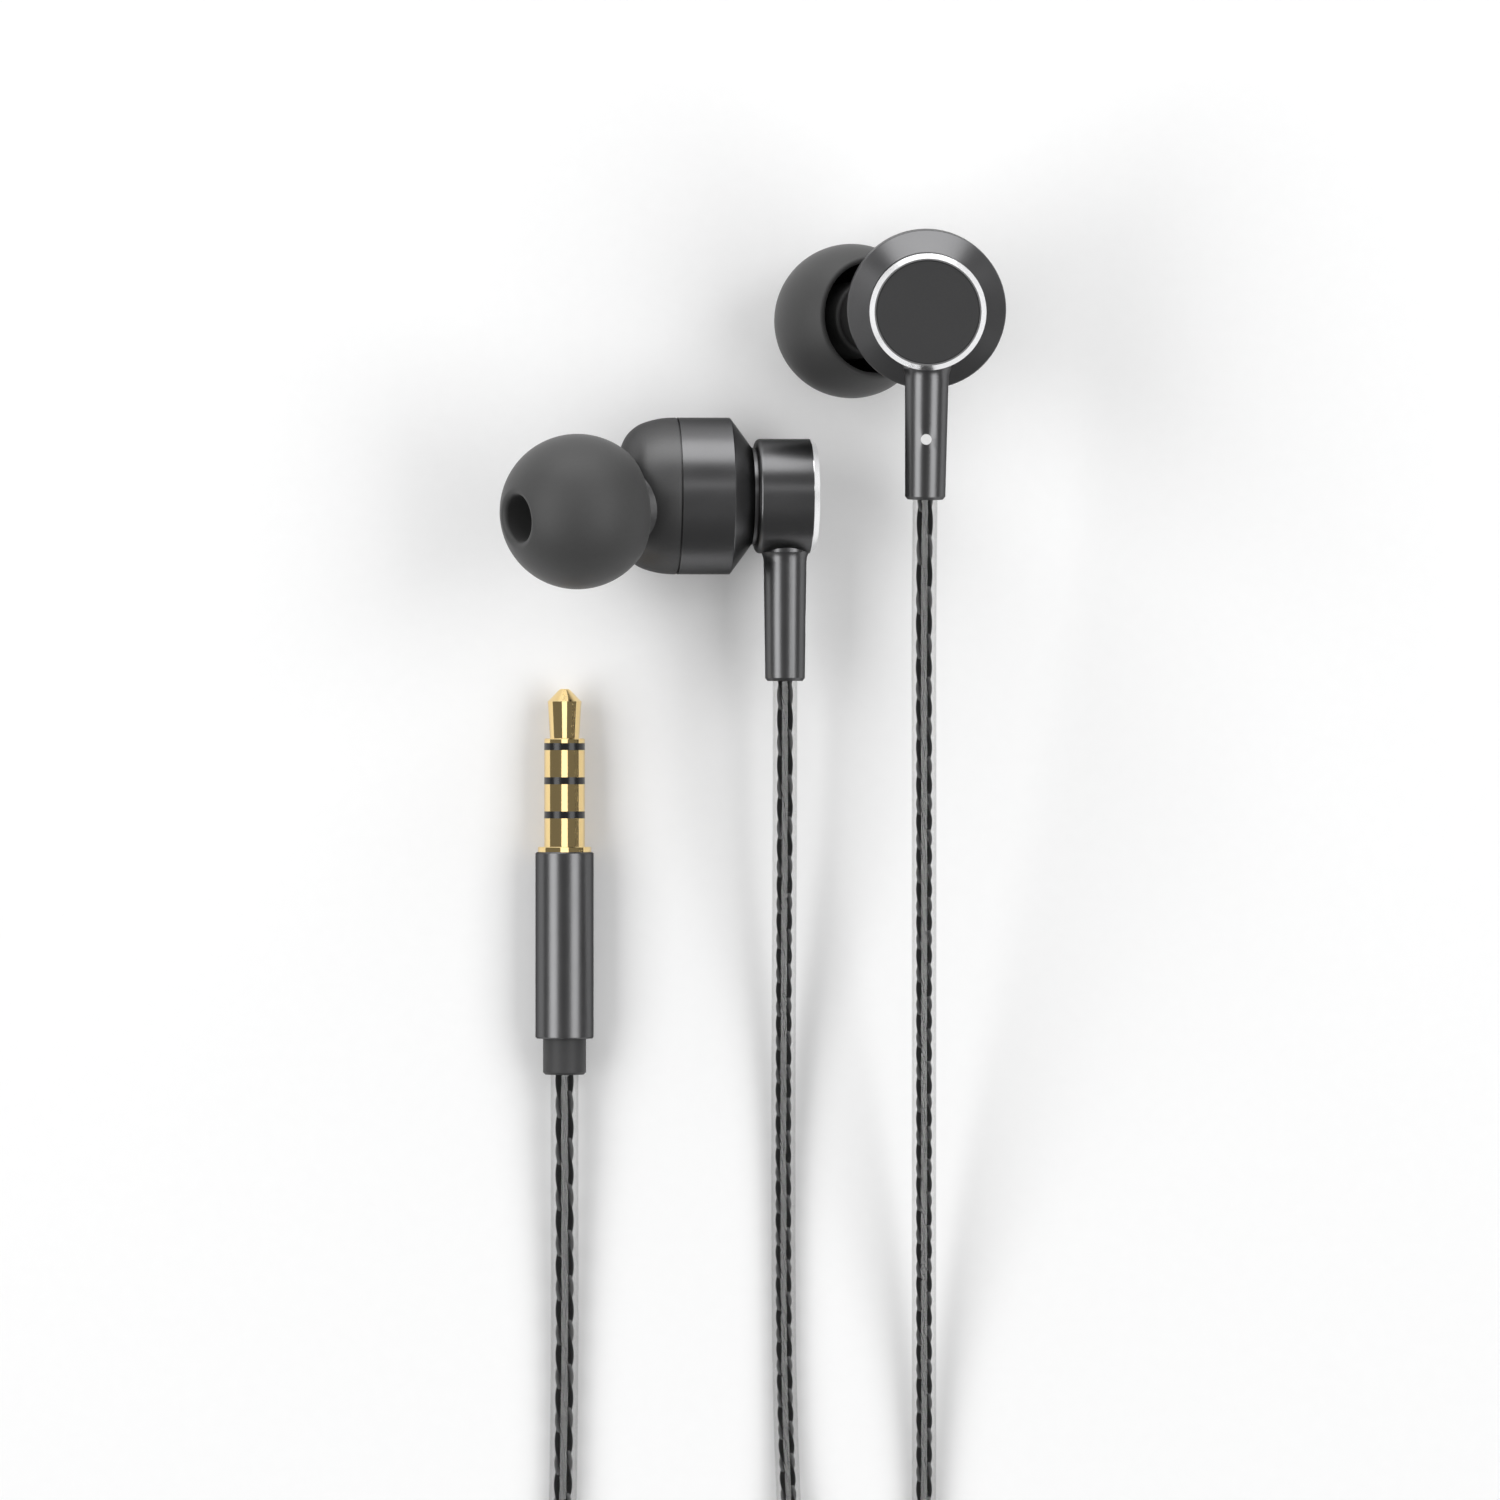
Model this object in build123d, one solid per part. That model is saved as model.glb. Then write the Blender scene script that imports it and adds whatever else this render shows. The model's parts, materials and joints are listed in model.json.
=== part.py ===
from build123d import *
import math
import os

# Wired in-ear earphones, laid out on a table with the spare cord wound in a flat coil.
# Millimetres, +Z up, the table at Z = 0. The origin is under the middle of the two earpieces.
# Both earpieces have the same shape. Each is drawn in its own frame: +Z runs out through the
# cap, -Y runs down the stem, and the nozzle leans towards -X. Z = 0 is the back rim of the shell.

# ---- driving sizes: earpiece -------------------------------------------------------------
shell_diameter = 13.4
shell_wall = 0.7
rear_shell_length = 4.5
front_lip_length = 0.35
front_side_radius = 7.3
front_side_turn = 21.0
front_corner_radius = 3.0
front_face_slope = 10.0
front_cavity_depth = 2.6
seam_width = 0.16
seam_depth = 0.25
spigot_length = 0.9
spigot_wall = 0.55
rear_cone_length = 1.85
neck_diameter = 8.3
neck_gap = 0.3
neck_spigot_diameter = 6.0
neck_bore_diameter = 3.6
cap_diameter = 9.8
cap_length = 5.2
cap_wall = 0.8
cap_front_round = 0.45
cap_ring_width = 0.55
cap_ring_chamfer = 0.48
cap_disc_recess = 0.08
nozzle_lean = 28.2
nozzle_drop = 6.4
nozzle_axis_height = -1.9
nozzle_diameter = 5.0
nozzle_bore_diameter = 3.6
nozzle_root_diameter = 6.8
nozzle_root_length = 4.0
mesh_diameter = 4.3
mesh_thickness = 0.2
tip_diameter = 13.2
tip_centre_reach = 13.25
tip_skirt_wall = 0.6
tip_skirt_depth = 4.0
tip_sleeve_wall = 0.75
tip_sleeve_depth = 3.3
tip_hole_diameter = 4.0
tip_seat_depth = 2.1
driver_diameter = 10.0
driver_wall = 0.5
driver_depth = 3.0
magnet_diameter = 5.0
magnet_thickness = 1.1
pole_thickness = 0.5
stem_top_diameter = 3.7
stem_end_diameter = 3.4
stem_reach = 15.8
stem_collar_diameter = 4.1
mark_dot_diameter = 0.9
mark_bar_length = 2.4
mark_depth = 0.12
mark_reach = 10.7

# ---- driving sizes: cord and what is on it -----------------------------------------------
branch_diameter = 2.1
main_diameter = 2.4
wire_bore_diameter = 1.4
jack_radius = 1.75
jack_length = 14.0
jack_tip_length = 4.25
jack_band_length = 2.33
jack_washer_length = 0.6
jack_flange_diameter = 4.6
jack_flange_length = 0.45
jack_rod_diameter = 1.0
jack_tube_diameter = 1.8
barrel_diameter = 5.0
barrel_length = 16.0
barrel_wall = 0.45
collar_diameter = 3.7
collar_length = 3.1
remote_length = 36.0
remote_width = 6.6
remote_height = 5.2
remote_wall = 0.7
button_length = 9.0
button_width = 3.4
button_rise = 0.45
button_travel = 0.3
board_thickness = 0.6
splitter_length = 11.0
splitter_diameter = 4.4
splitter_wall = 0.7
coil_radius = 19.0
coil_hole_radius = 10.2
coil_layers = 4

# ---- named clearances --------------------------------------------------------------------
running_gap = 0.05
seat_gap = 0.02
tip_seat_gap = 0.3
tube_overlap = 0.3

# ---- where things lie --------------------------------------------------------------------
left_place = (14.786, 12.364)
left_lean = 3.9
left_turn = -0.7
right_place = (-1.855, -3.078)
right_turn = 95.0
plug_tail = (-16.1, -52.9)
remote_middle = (6.15, -122.0)
remote_heading = 5.87
coil_middle = (-4.0, -166.0)
left_turn_radius = 17.0
right_turn_radius = 14.85
main_turn_radius = 17.8
splitter_offset = -6.0

# ---- values that follow from the sizes ---------------------------------------------------
shell_radius = shell_diameter / 2
cap_radius = cap_diameter / 2
cap_start = rear_cone_length + neck_gap
cap_face = cap_start + cap_length
cap_rim = cap_face - cap_ring_chamfer - 0.05
stem_height = cap_start + cap_length / 2
seam_height = -rear_shell_length
ledge_height = seam_height - 1.7
tip_radius = tip_diameter / 2
lean = math.radians(nozzle_lean)
drop = math.radians(nozzle_drop)
nozzle_direction = Vector(
    -math.sin(lean) * math.cos(drop), -math.sin(drop), -math.cos(lean) * math.cos(drop)
)
tip_centre = Vector(0, 0, nozzle_axis_height) + nozzle_direction * tip_centre_reach
nozzle_frame = Plane(origin=tip_centre, z_dir=nozzle_direction)
stem_frame = Plane(origin=(0, 0, stem_height), x_dir=(1, 0, 0), z_dir=(0, -1, 0))


def turned(points):
    """Solid turned about Z from a closed outline of (radius, height) points."""
    return revolve(make_face(Plane.XZ * Polyline(*points, close=True)), Axis.Z)


def ring(outer_radius, inner_radius, low, high):
    """Plain ring about Z between two heights."""
    outline = [(inner_radius, low), (outer_radius, low), (outer_radius, high), (inner_radius, high)]
    return turned(outline)


def disc(radius, low, high):
    """Plain disc about Z between two heights."""
    return turned([(0, low), (radius, low), (radius, high), (0, high)])


# ---- earpiece shells ---------------------------------------------------------------------
def front_form():
    """Outer form: a short straight lip, a long easy curve, a round corner and a shallow cone."""
    face_turn = 90 - front_side_turn - front_face_slope
    lip_end = (shell_radius, seam_height - front_lip_length)
    side = JernArc(lip_end, (0, -1), front_side_radius, -front_side_turn)
    corner = JernArc(side @ 1, side % 1, front_corner_radius, -face_turn)
    corner_end = corner @ 1
    point = corner_end.Y - corner_end.X * math.tan(math.radians(front_face_slope))
    outline = Plane.XZ * Curve([
        Line((0, seam_height), (shell_radius, seam_height)),
        Line((shell_radius, seam_height), lip_end),
        side,
        corner,
        Line(corner_end, (0, point)),
        Line((0, point), (0, seam_height)),
    ])
    return revolve(make_face(outline), Axis.Z)


def cavity_form(radius, depth, top, lip):
    """Half ellipsoid that hangs below a short straight lip."""
    start = top - lip
    outline = Plane.XZ * Curve([
        Line((0, top), (radius, top)),
        Line((radius, top), (radius, start)),
        EllipticalCenterArc((0, start), radius, depth, start_angle=270, arc_size=90),
        Line((0, start - depth), (0, top)),
    ])
    return revolve(make_face(outline), Axis.Z)


def front_shell():
    """Dome with the leaning sound nozzle, hollow behind the driver's ledge."""
    body = front_form()
    root_radius = nozzle_root_diameter / 2
    shoulder = -tip_sleeve_depth - tip_seat_gap
    nozzle = turned([
        (0, shoulder - nozzle_root_length),
        (root_radius, shoulder - nozzle_root_length),
        (root_radius - 0.1, shoulder - 1.6),
        (root_radius - 0.4, shoulder),
        (nozzle_diameter / 2, shoulder),
        (nozzle_diameter / 2, tip_seat_depth - 0.1),
        (0, tip_seat_depth - 0.1),
    ])
    body = body + nozzle_frame.location * nozzle
    cavity_radius = driver_diameter / 2 - driver_wall - 0.1
    cavity = cavity_form(cavity_radius, front_cavity_depth, ledge_height + 0.5, 0.5)
    body = body - cavity - disc(driver_diameter / 2 + seat_gap, ledge_height, seam_height + 0.1)
    bore = disc(nozzle_bore_diameter / 2, -7.0, tip_seat_depth)
    mesh_seat = disc(mesh_diameter / 2, tip_seat_depth - 0.1 - mesh_thickness, tip_seat_depth)
    body = body - nozzle_frame.location * bore - nozzle_frame.location * mesh_seat
    seam = ring(
        shell_radius + 0.1, shell_radius - seam_depth, seam_height - seam_width, seam_height + 0.1
    )
    spigot_radius = shell_radius - shell_wall - seat_gap
    spigot = ring(
        spigot_radius, spigot_radius - spigot_wall, seam_height - 0.2, seam_height + spigot_length
    )
    return body - seam + spigot


def rear_shell():
    """Turned cup: cylinder, cone and neck in one piece, with a bored spigot for the barrel."""
    inner = shell_radius - shell_wall
    neck = neck_diameter / 2
    bore = neck_bore_diameter / 2
    spigot = neck_spigot_diameter / 2
    spigot_end = cap_start + cap_wall
    slope_gap = shell_wall * 1.2
    return turned([
        (inner, seam_height),
        (shell_radius, seam_height),
        (shell_radius, -0.06),
        (shell_radius - 0.06, 0.02),
        (neck, rear_cone_length),
        (neck, cap_start),
        (spigot, cap_start),
        (spigot, spigot_end),
        (bore, spigot_end),
        (bore, rear_cone_length - 0.3),
        (neck - slope_gap, rear_cone_length - 0.7),
        (inner, -0.35),
    ])


def nozzle_mesh():
    """Fine mesh disc let into the end of the nozzle."""
    top = tip_seat_depth - 0.1
    return nozzle_frame.location * disc(mesh_diameter / 2, top - mesh_thickness, top)


def eartip():
    """Silicone tip: a thin round skirt folded back over a sleeve that grips the nozzle."""
    inner_radius = tip_radius - tip_skirt_wall
    sleeve_bore = nozzle_diameter / 2 + running_gap
    sleeve_radius = sleeve_bore + tip_sleeve_wall
    outer = Sphere(tip_radius)
    hollow = Sphere(inner_radius) - Pos(0, 0, tip_radius) * Cylinder(tip_radius, tip_radius + 2)
    core = disc(sleeve_radius, -tip_sleeve_depth, tip_radius * 0.8)
    skirt_cut = Pos(0, 0, -tip_skirt_depth - tip_radius) * Box(
        3 * tip_radius, 3 * tip_radius, 2 * tip_radius
    )
    body = (outer - hollow - skirt_cut) + core
    body = body - disc(sleeve_bore, -tip_radius, tip_seat_depth)
    body = body - disc(tip_hole_diameter / 2, 0, tip_radius + 1)
    return nozzle_frame.location * body


# ---- driver ------------------------------------------------------------------------------
def driver_parts():
    """Ten millimetre dynamic driver, face down on the ledge of the front shell."""
    outer = driver_diameter / 2
    inner = outer - driver_wall
    film_edge = 0.15
    front = ledge_height + film_edge
    back = ledge_height + driver_depth
    magnet_radius = magnet_diameter / 2
    yoke_inner = magnet_radius + 0.45
    yoke_outer = yoke_inner + 0.45
    floor_low = back - 1.1
    yoke_back = back
    yoke_floor = yoke_back - 0.5
    basket = turned([
        (inner, front),
        (outer, front),
        (outer, floor_low + 0.5),
        (yoke_outer, floor_low + 0.5),
        (yoke_outer, floor_low),
        (inner, floor_low),
    ])
    yoke_front = yoke_floor - magnet_thickness - pole_thickness
    yoke = turned([
        (0, yoke_floor),
        (yoke_inner, yoke_floor),
        (yoke_inner, yoke_front),
        (yoke_outer, yoke_front),
        (yoke_outer, floor_low + 0.5),
        (yoke_outer + 0.25, floor_low + 0.5),
        (yoke_outer + 0.25, yoke_back),
        (0, yoke_back),
    ])
    magnet = disc(magnet_radius, yoke_floor - magnet_thickness, yoke_floor)
    pole = disc(magnet_radius + 0.05, yoke_front, yoke_floor - magnet_thickness)
    coil_front = front + 0.25
    coil = ring(magnet_radius + 0.3, magnet_radius + 0.14, coil_front, yoke_front + 0.6)
    film = 0.1
    diaphragm = turned([
        (0, ledge_height - 0.25),
        (magnet_radius * 0.6, ledge_height - 0.02),
        (magnet_radius + 0.1, coil_front - film),
        (magnet_radius + 0.45, coil_front - film),
        (outer - driver_wall - 0.5, ledge_height - 0.1),
        (inner - 0.1, ledge_height),
        (outer, ledge_height),
        (outer, front),
        (inner - 0.1, front),
        (outer - driver_wall - 0.5, ledge_height + 0.02),
        (magnet_radius + 0.45, coil_front),
        (magnet_radius + 0.1, coil_front),
        (magnet_radius * 0.6, ledge_height + 0.1),
        (0, ledge_height - 0.13),
    ])
    return {
        "driver_basket": basket,
        "driver_yoke": yoke,
        "driver_magnet": magnet,
        "driver_pole_plate": pole,
        "voice_coil": coil,
        "driver_diaphragm": diaphragm,
    }


# ---- cap and stem ------------------------------------------------------------------------
def stem_body():
    """Outer form of the stem along its own axis, with the collar under the barrel."""
    top = stem_top_diameter / 2
    collar = stem_collar_diameter / 2
    inside = cap_radius - cap_wall - 0.5
    outline = Plane.XZ * Curve([
        Line((0, inside), (top, inside)),
        Line((top, inside), (top, cap_radius - 0.6)),
        Line((top, cap_radius - 0.6), (collar, cap_radius - 0.6)),
        Line((collar, cap_radius - 0.6), (collar, cap_radius - 0.1)),
        ThreePointArc(
            (collar, cap_radius - 0.1),
            (top + 0.07, cap_radius + 0.22),
            (top - 0.01, cap_radius + 0.75),
        ),
        Line((top - 0.01, cap_radius + 0.75), (stem_end_diameter / 2, stem_reach - 0.25)),
        Line((stem_end_diameter / 2, stem_reach - 0.25), (stem_end_diameter / 2 - 0.2, stem_reach)),
        Line((stem_end_diameter / 2 - 0.2, stem_reach), (0, stem_reach)),
        Line((0, stem_reach), (0, inside)),
    ])
    return stem_frame.location * revolve(make_face(outline), Axis.Z)


def cap_housing(stem):
    """Turned barrel behind the neck, closed in front, with a hole in its side for the stem."""
    round_start = cap_start + cap_front_round
    inner = cap_radius - cap_wall
    hole = neck_spigot_diameter / 2
    bend = cap_front_round * (1 - math.sqrt(0.5))
    outline = Plane.XZ * Curve([
        Line((hole, cap_start), (cap_radius - cap_front_round, cap_start)),
        ThreePointArc(
            (cap_radius - cap_front_round, cap_start),
            (cap_radius - bend, cap_start + bend),
            (cap_radius, round_start),
        ),
        Line((cap_radius, round_start), (cap_radius, cap_rim)),
        Line((cap_radius, cap_rim), (inner, cap_rim)),
        Line((inner, cap_rim), (inner, cap_start + cap_wall)),
        Line((inner, cap_start + cap_wall), (hole, cap_start + cap_wall)),
        Line((hole, cap_start + cap_wall), (hole, cap_start)),
    ])
    return revolve(make_face(outline), Axis.Z) - stem


def cap_ring():
    """Bright ring with a broad chamfer on the end of the barrel."""
    inner = cap_radius - cap_ring_width
    return turned([
        (inner, cap_rim),
        (cap_radius, cap_rim),
        (cap_radius, cap_face - cap_ring_chamfer),
        (cap_radius - cap_ring_chamfer + 0.06, cap_face),
        (inner, cap_face),
    ])


def cap_disc():
    """Flat disc inside the ring, a little below its edge."""
    radius = cap_radius - cap_ring_width - seat_gap
    top = cap_face - cap_disc_recess
    return turned([(0, cap_rim), (radius, cap_rim), (radius, top - 0.06), (radius - 0.06, top), (0, top)])


def side_mark(hand, stem):
    """Printed side mark let into the stem on its cap side: a round dot on the left, a bar on the right."""
    if hand == "left":
        shape = Circle(mark_dot_diameter / 2)
    else:
        shape = SlotOverall(mark_bar_length, mark_dot_diameter, rotation=90)
    flat = Pos(0, -mark_reach) * shape
    block = Pos(0, 0, stem_height) * extrude(flat, amount=stem_top_diameter)
    deep = Pos(0, -stem_reach / 2, stem_height) * Rot(90, 0, 0) * Cylinder(
        stem_end_diameter / 2 + 0.04 - mark_depth, stem_reach * 2
    )
    return (block & stem) - deep


def cord_crimp():
    """Metal crimp on the wires, seated on the inner end of the stem."""
    end = cap_radius - cap_wall - 0.5
    crimp = ring(stem_top_diameter / 2 - 0.35, wire_bore_diameter / 2, end - 1.6, end)
    return stem_frame.location * crimp


def earpiece(hand):
    """All the pieces of one earpiece in its own frame, by node name."""
    bore = stem_frame.location * disc(wire_bore_diameter / 2, 0, stem_reach + 1)
    outer = stem_body()
    mark = side_mark(hand, outer)
    pieces = {
        "eartip": eartip(),
        "front_shell": front_shell(),
        "nozzle_mesh": nozzle_mesh(),
        "rear_shell": rear_shell(),
        "cap_housing": cap_housing(outer),
        "cap_ring": cap_ring(),
        "cap_disc": cap_disc(),
        "stem": outer - bore - mark,
        "side_mark": mark,
        "cord_crimp": cord_crimp(),
    }
    pieces.update(driver_parts())
    return pieces


# ---- plug, drawn from its tip along +Z ----------------------------------------------------
def plug_parts():
    """Four-pole 3.5 mm jack with a turned barrel and a short collar."""
    rod = jack_rod_diameter / 2
    tube = jack_tube_diameter / 2
    tip_end = jack_tip_length + 0.4
    first_band = tip_end + jack_washer_length
    second_band = first_band + jack_band_length + jack_washer_length
    sleeve_start = second_band + jack_band_length + jack_washer_length
    flange_start = jack_length - jack_flange_length
    barrel_end = jack_length + barrel_length
    collar_end = barrel_end + collar_length
    wall = 1.0
    tip = turned([
        (0, 0),
        (0.35, 0),
        (0.5, 0.1),
        (1.46, 1.08),
        (1.42, 1.5),
        (1.26, jack_tip_length),
        (jack_radius - 0.08, jack_tip_length),
        (jack_radius, jack_tip_length + 0.08),
        (jack_radius, tip_end),
        (rod, tip_end),
        (rod, jack_length + wall + 2.0),
        (0, jack_length + wall + 2.0),
    ])
    insulators = turned([
        (rod, tip_end),
        (jack_radius, tip_end),
        (jack_radius, first_band),
        (tube, first_band),
        (tube, first_band + jack_band_length),
        (jack_radius, first_band + jack_band_length),
        (jack_radius, second_band),
        (tube, second_band),
        (tube, second_band + jack_band_length),
        (jack_radius, second_band + jack_band_length),
        (jack_radius, sleeve_start),
        (tube, sleeve_start),
        (tube, jack_length + wall + 1.0),
        (rod, jack_length + wall + 1.0),
    ])
    sleeve = turned([
        (tube, sleeve_start),
        (jack_radius, sleeve_start),
        (jack_radius, flange_start),
        (jack_flange_diameter / 2 - 0.05, flange_start),
        (jack_flange_diameter / 2, flange_start + 0.05),
        (jack_flange_diameter / 2, jack_length),
        (jack_radius - 0.3, jack_length),
        (jack_radius - 0.3, jack_length + wall),
        (tube, jack_length + wall),
    ])
    bore = barrel_diameter / 2 - barrel_wall
    neck = collar_diameter / 2 - 0.5
    edge = 0.12
    barrel = turned([
        (jack_radius - 0.3, jack_length),
        (barrel_diameter / 2 - edge, jack_length),
        (barrel_diameter / 2, jack_length + edge),
        (barrel_diameter / 2, barrel_end - edge),
        (barrel_diameter / 2 - edge, barrel_end),
        (neck, barrel_end),
        (neck, barrel_end - wall),
        (bore, barrel_end - wall),
        (bore, jack_length + wall),
        (jack_radius - 0.3, jack_length + wall),
    ])
    core = disc(bore, jack_length + wall, barrel_end - wall)
    core = core - disc(tube, jack_length, jack_length + wall + 1.0)
    core = core - disc(rod, jack_length, jack_length + wall + 2.0)
    collar = turned([
        (0, barrel_end - wall),
        (neck, barrel_end - wall),
        (neck, barrel_end),
        (collar_diameter / 2, barrel_end),
        (collar_diameter / 2, collar_end - 0.2),
        (collar_diameter / 2 - 0.2, collar_end),
        (0, collar_end),
    ])
    return {
        "jack_tip": tip,
        "jack_ring_1": ring(jack_radius, tube, first_band, first_band + jack_band_length),
        "jack_ring_2": ring(jack_radius, tube, second_band, second_band + jack_band_length),
        "jack_sleeve": sleeve,
        "jack_insulators": insulators,
        "plug_barrel": barrel,
        "plug_core": core,
        "plug_collar": collar,
    }


# ---- inline remote, drawn along Y with its underside at Z = 0 -------------------------------
def remote_body(length, width, height, corner):
    """Long pill with rounded edges, standing on Z = 0."""
    flat = SlotOverall(length, width, rotation=90)
    block = extrude(flat, amount=height)
    edges = block.edges().group_by(Axis.Z)[0] + block.edges().group_by(Axis.Z)[-1]
    return fillet(edges, corner)


def remote_parts():
    """Two half shells, a push button over a dome switch, a board and a microphone."""
    split = remote_height / 2
    outer = remote_body(remote_length, remote_width, remote_height, 1.2)
    inside = Pos(0, 0, remote_wall) * remote_body(
        remote_length - 5.0, remote_width - 2 * remote_wall, remote_height - 2 * remote_wall, 0.6
    )
    end_cut = Box(2 * remote_width, remote_length + 1, 2 * remote_height)
    ends = Box(2 * remote_width, remote_length - 1.0, 2 * remote_height)
    outer = outer - (end_cut - ends)
    wires = Pos(0, 0, split) * Rot(90, 0, 0) * Cylinder(wire_bore_diameter / 2, remote_length + 2)
    shell = outer - inside - wires
    lower = Pos(0, 0, split / 2) * Box(2 * remote_width, 2 * remote_length, split)
    upper = Pos(0, 0, split * 1.5 + 0.5) * Box(2 * remote_width, 2 * remote_length, split + 1)
    roof = remote_height - remote_wall
    gap = 2 * running_gap
    slot = extrude(SlotOverall(button_length + gap, button_width + gap, rotation=90), amount=split)
    microphone_place = remote_length * 0.3
    port = Pos(0, -microphone_place, split) * Cylinder(0.4, remote_height)
    top_shell = (shell & upper) - Pos(0, 0, split + 0.4) * slot - port
    board_low = 1.2
    board_top = board_low + board_thickness
    board = Pos(0, 0, board_low) * extrude(
        SlotOverall(remote_length - 8.0, remote_width - 2 * remote_wall - 0.6, rotation=90),
        amount=board_thickness,
    )
    post = Pos(0, 0, (remote_wall + board_low) / 2) * Box(2.0, 2.0, board_low - remote_wall)
    posts = Pos(0, 8, 0) * post + Pos(0, -8, 0) * post
    bottom_shell = (shell & lower) + posts
    switch_height = 0.8
    switch = Pos(0, 0, board_top) * turned([
        (0, 0), (1.5, 0), (1.5, 0.25), (0.9, switch_height), (0, switch_height)
    ])
    face = extrude(SlotOverall(button_length, button_width, rotation=90), amount=remote_wall + button_rise)
    top_edges = face.edges().group_by(Axis.Z)[-1]
    face = Pos(0, 0, roof) * fillet(top_edges, 0.25)
    flange_low = roof - running_gap - 0.45
    flange = extrude(SlotOverall(button_length + 1.2, button_width + 1.0, rotation=90), amount=0.45)
    push_low = board_top + switch_height + button_travel + 0.05
    push = Cylinder(0.7, flange_low - push_low + 0.1, align=(Align.CENTER, Align.CENTER, Align.MIN))
    link = Pos(0, 0, flange_low) * extrude(
        SlotOverall(button_length, button_width, rotation=90), amount=0.6
    )
    button = face + Pos(0, 0, flange_low) * flange + Pos(0, 0, push_low) * push + link
    microphone = Pos(0, -microphone_place, board_top) * Cylinder(
        1.6, 1.2, align=(Align.CENTER, Align.CENTER, Align.MIN)
    )
    return {
        "remote_top_shell": top_shell,
        "remote_bottom_shell": bottom_shell,
        "remote_button": button,
        "remote_switch": switch,
        "remote_board": board,
        "remote_microphone": microphone,
    }


# ---- splitter, drawn along Z from the two-cord end ------------------------------------------
def splitter_parts():
    """Moulded sleeve over an inner joint where the two branch cords become one."""
    radius = splitter_diameter / 2
    edge = 0.25
    inner = radius - splitter_wall
    core = disc(inner, 1.0, splitter_length - 1.0)
    sleeve = turned([
        (0, 0),
        (radius - edge, 0),
        (radius, edge),
        (radius, splitter_length - edge),
        (radius - edge, splitter_length),
        (0, splitter_length),
    ])
    return {"splitter_sleeve": sleeve - core, "splitter_core": core}


# ---- cord ----------------------------------------------------------------------------------
def cord_tube(name, points, diameter):
    """Round tube along straight runs joined by arcs as large as the runs allow."""
    stops = [Vector(*p) for p in points]
    radii = []
    for before, here, after in zip(stops, stops[1:], stops[2:]):
        turn = math.radians((here - before).get_angle(after - here))
        short = min((here - before).length, (after - here).length)
        radii.append(0.45 * short / math.tan(turn / 2))
    path = FilletPolyline(*stops, radius=radii)
    start = Plane(origin=stops[0], z_dir=stops[1] - stops[0])
    tube = sweep(start * Circle(diameter / 2), path=path)
    expected = math.pi * diameter ** 2 / 4 * path.length
    print(name, "length", round(path.length, 1), "smallest radius", round(min(radii), 1),
          "volume ratio", round(tube.volume / expected, 4), "lowest", round(tube.bounding_box().min.Z, 3))
    return tube


def cord_coil():
    """Outer shape of the wound cord: a low ring, thick where the cords run to the splitter."""
    height = branch_diameter + (coil_layers - 1) * main_diameter
    body = disc(coil_radius, 0, height)
    open_side = splitter_offset + splitter_diameter / 2 + 0.4
    hole = disc(coil_hole_radius, -1, height + 1) & Pos(open_side + 20, 0, 0) * Box(40, 80, 80)
    slot_low = splitter_offset - splitter_diameter / 2 - 0.3
    slot = Pos((slot_low + open_side) / 2, 0, height / 2) * Box(
        open_side - slot_low, splitter_length, height + 2
    )
    return Pos(*coil_middle, 0) * (body - hole - slot)


# ---- placing --------------------------------------------------------------------------------
left_rotation = Rot(left_lean, 0, 0) * Rot(0, 0, left_turn)
right_rotation = Rot(0, right_turn, 0)
left_height = tip_radius - (left_rotation * Pos(*tip_centre)).position.Z
right_height = shell_radius * math.sin(math.radians(right_turn))
left_pieces = earpiece("left")
right_pieces = earpiece("right")
left_spot = Pos(*left_place, left_height) * left_rotation
right_spot = Pos(*right_place, right_height) * right_rotation
both = Compound(
    [left_spot * p for p in left_pieces.values()] + [right_spot * p for p in right_pieces.values()]
)
middle = both.bounding_box().center()
shift = Pos(-middle.X, -middle.Y, 0)
left_spot = shift * left_spot
right_spot = shift * right_spot
nodes = {}
for name, piece in left_pieces.items():
    nodes["left_" + name] = left_spot * piece
for name, piece in right_pieces.items():
    nodes["right_" + name] = right_spot * piece

plug_length = jack_length + barrel_length + collar_length
plug_spot = Pos(plug_tail[0], plug_tail[1] + plug_length, barrel_diameter / 2) * Rot(90, 0, 0)
for name, piece in plug_parts().items():
    nodes[name] = plug_spot * piece

remote_spot = Pos(*remote_middle, 0) * Rot(0, 0, remote_heading)
for name, piece in remote_parts().items():
    nodes[name] = remote_spot * piece

splitter_spot = Pos(
    coil_middle[0] + splitter_offset, coil_middle[1] - splitter_length / 2, splitter_diameter / 2
) * Rot(-90, 0, 0)
for name, piece in splitter_parts().items():
    nodes[name] = splitter_spot * piece

# ---- cord routes: the first and last points are on the pieces that the cord meets -----------
stem_end = stem_frame.location * Pos(0, 0, stem_reach)
stem_out = stem_frame.location * Pos(0, 0, stem_reach + 9)
branch_height = branch_diameter / 2 + 0.01
main_height = main_diameter / 2 + 0.01
remote_end = (remote_length - 1.0) / 2
remote_in = (remote_spot * Pos(0, remote_end, remote_height / 2)).position
remote_ahead = (remote_spot * Pos(0, remote_end + 7, remote_height / 2)).position
remote_out = (remote_spot * Pos(0, -remote_end, remote_height / 2)).position
remote_beyond = (remote_spot * Pos(0, -remote_end - 4, remote_height / 2)).position
left_coil_x = coil_middle[0] + left_turn_radius
right_coil_x = coil_middle[0] + right_turn_radius
main_coil_x = coil_middle[0] - main_turn_radius
main_coil_z = branch_diameter + (coil_layers - 1.5) * main_diameter


def coil_entry(x):
    """Y where a straight line at this x meets the round side of the coil."""
    return coil_middle[1] + math.sqrt(coil_radius ** 2 - (x - coil_middle[0]) ** 2)


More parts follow.
